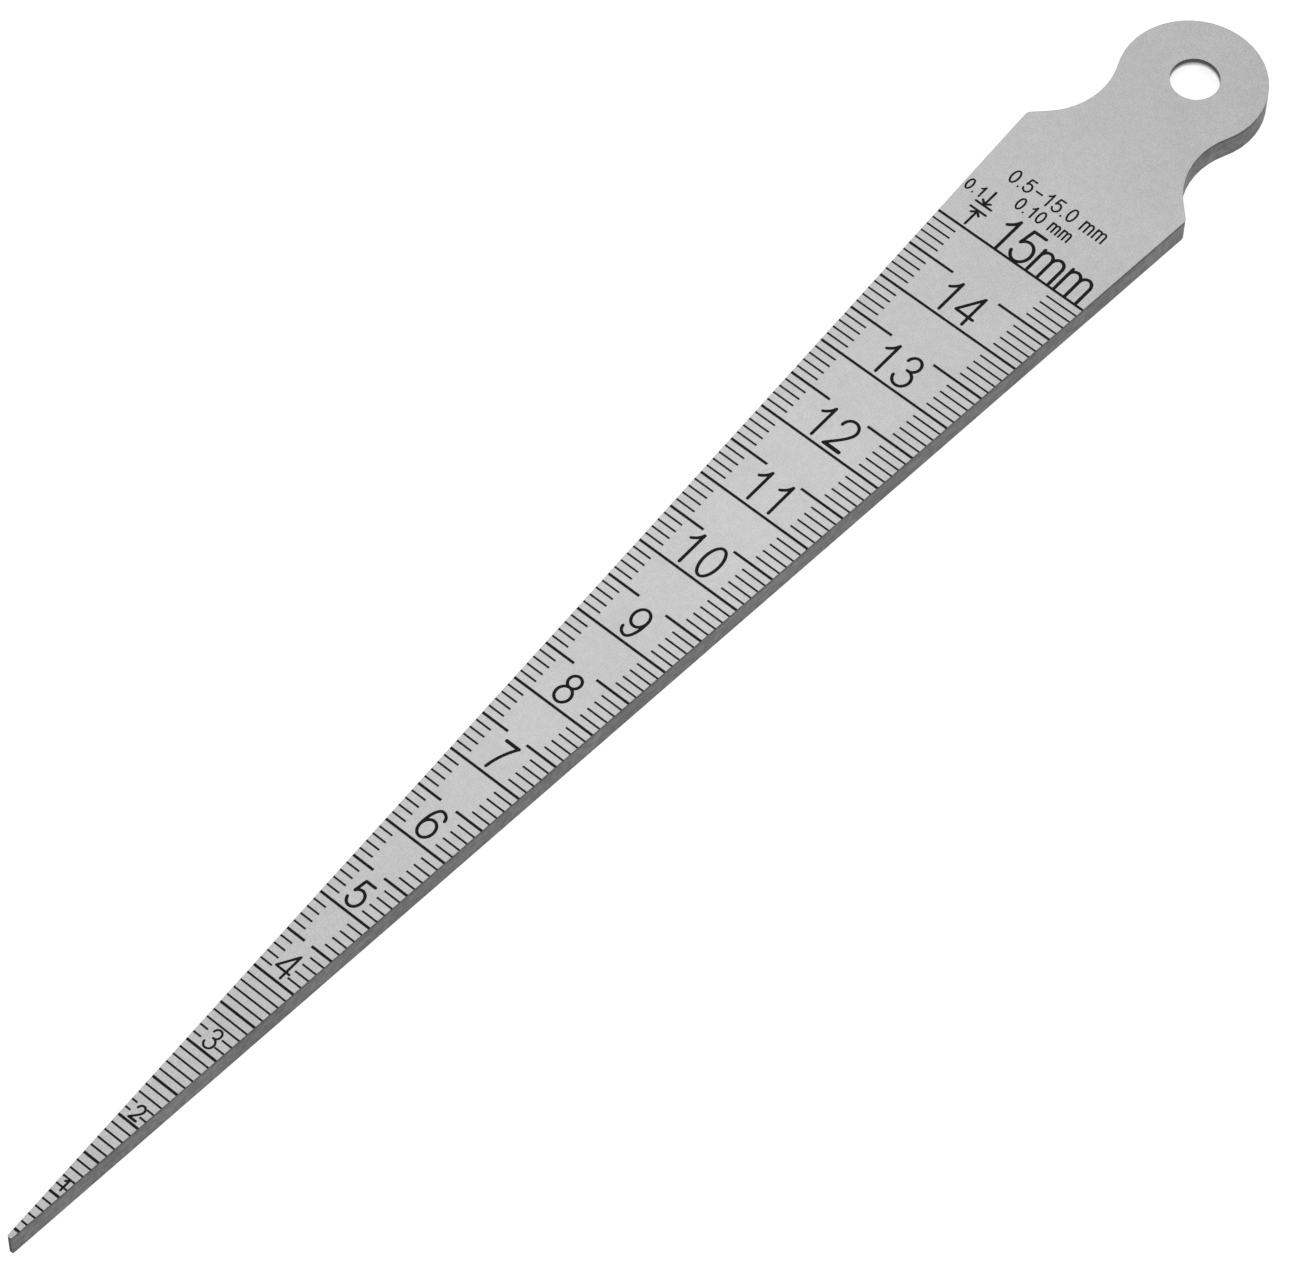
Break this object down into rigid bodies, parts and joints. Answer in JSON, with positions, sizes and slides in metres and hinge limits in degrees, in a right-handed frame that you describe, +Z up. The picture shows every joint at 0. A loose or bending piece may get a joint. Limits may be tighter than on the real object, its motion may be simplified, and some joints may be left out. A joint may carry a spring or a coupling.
{
  "type": "taper gauge",
  "caption": "Flat steel wedge gauge with a graduated tapered blade, a waisted neck and a round head with a hanging hole, for reading the width of gaps, slots and bores.",
  "frame": {"origin": "middle of the back face that the gauge lies on, halfway along its length", "axes": "+X along the length from the tip to the head, +Y across the blade towards its left edge as the numerals are read, +Z up, out of the face that carries the scale"},
  "size_m": [0.1468, 0.0166, 0.0024],
  "materials": {
    "stainless_steel": "satin, finely blasted, with duller cut sides",
    "black_marking": "matt black, filling the etched lines and numerals"
  },
  "bodies": {
    "root": {"gauge_blade": "stainless_steel"}
  },
  "joints": []
}
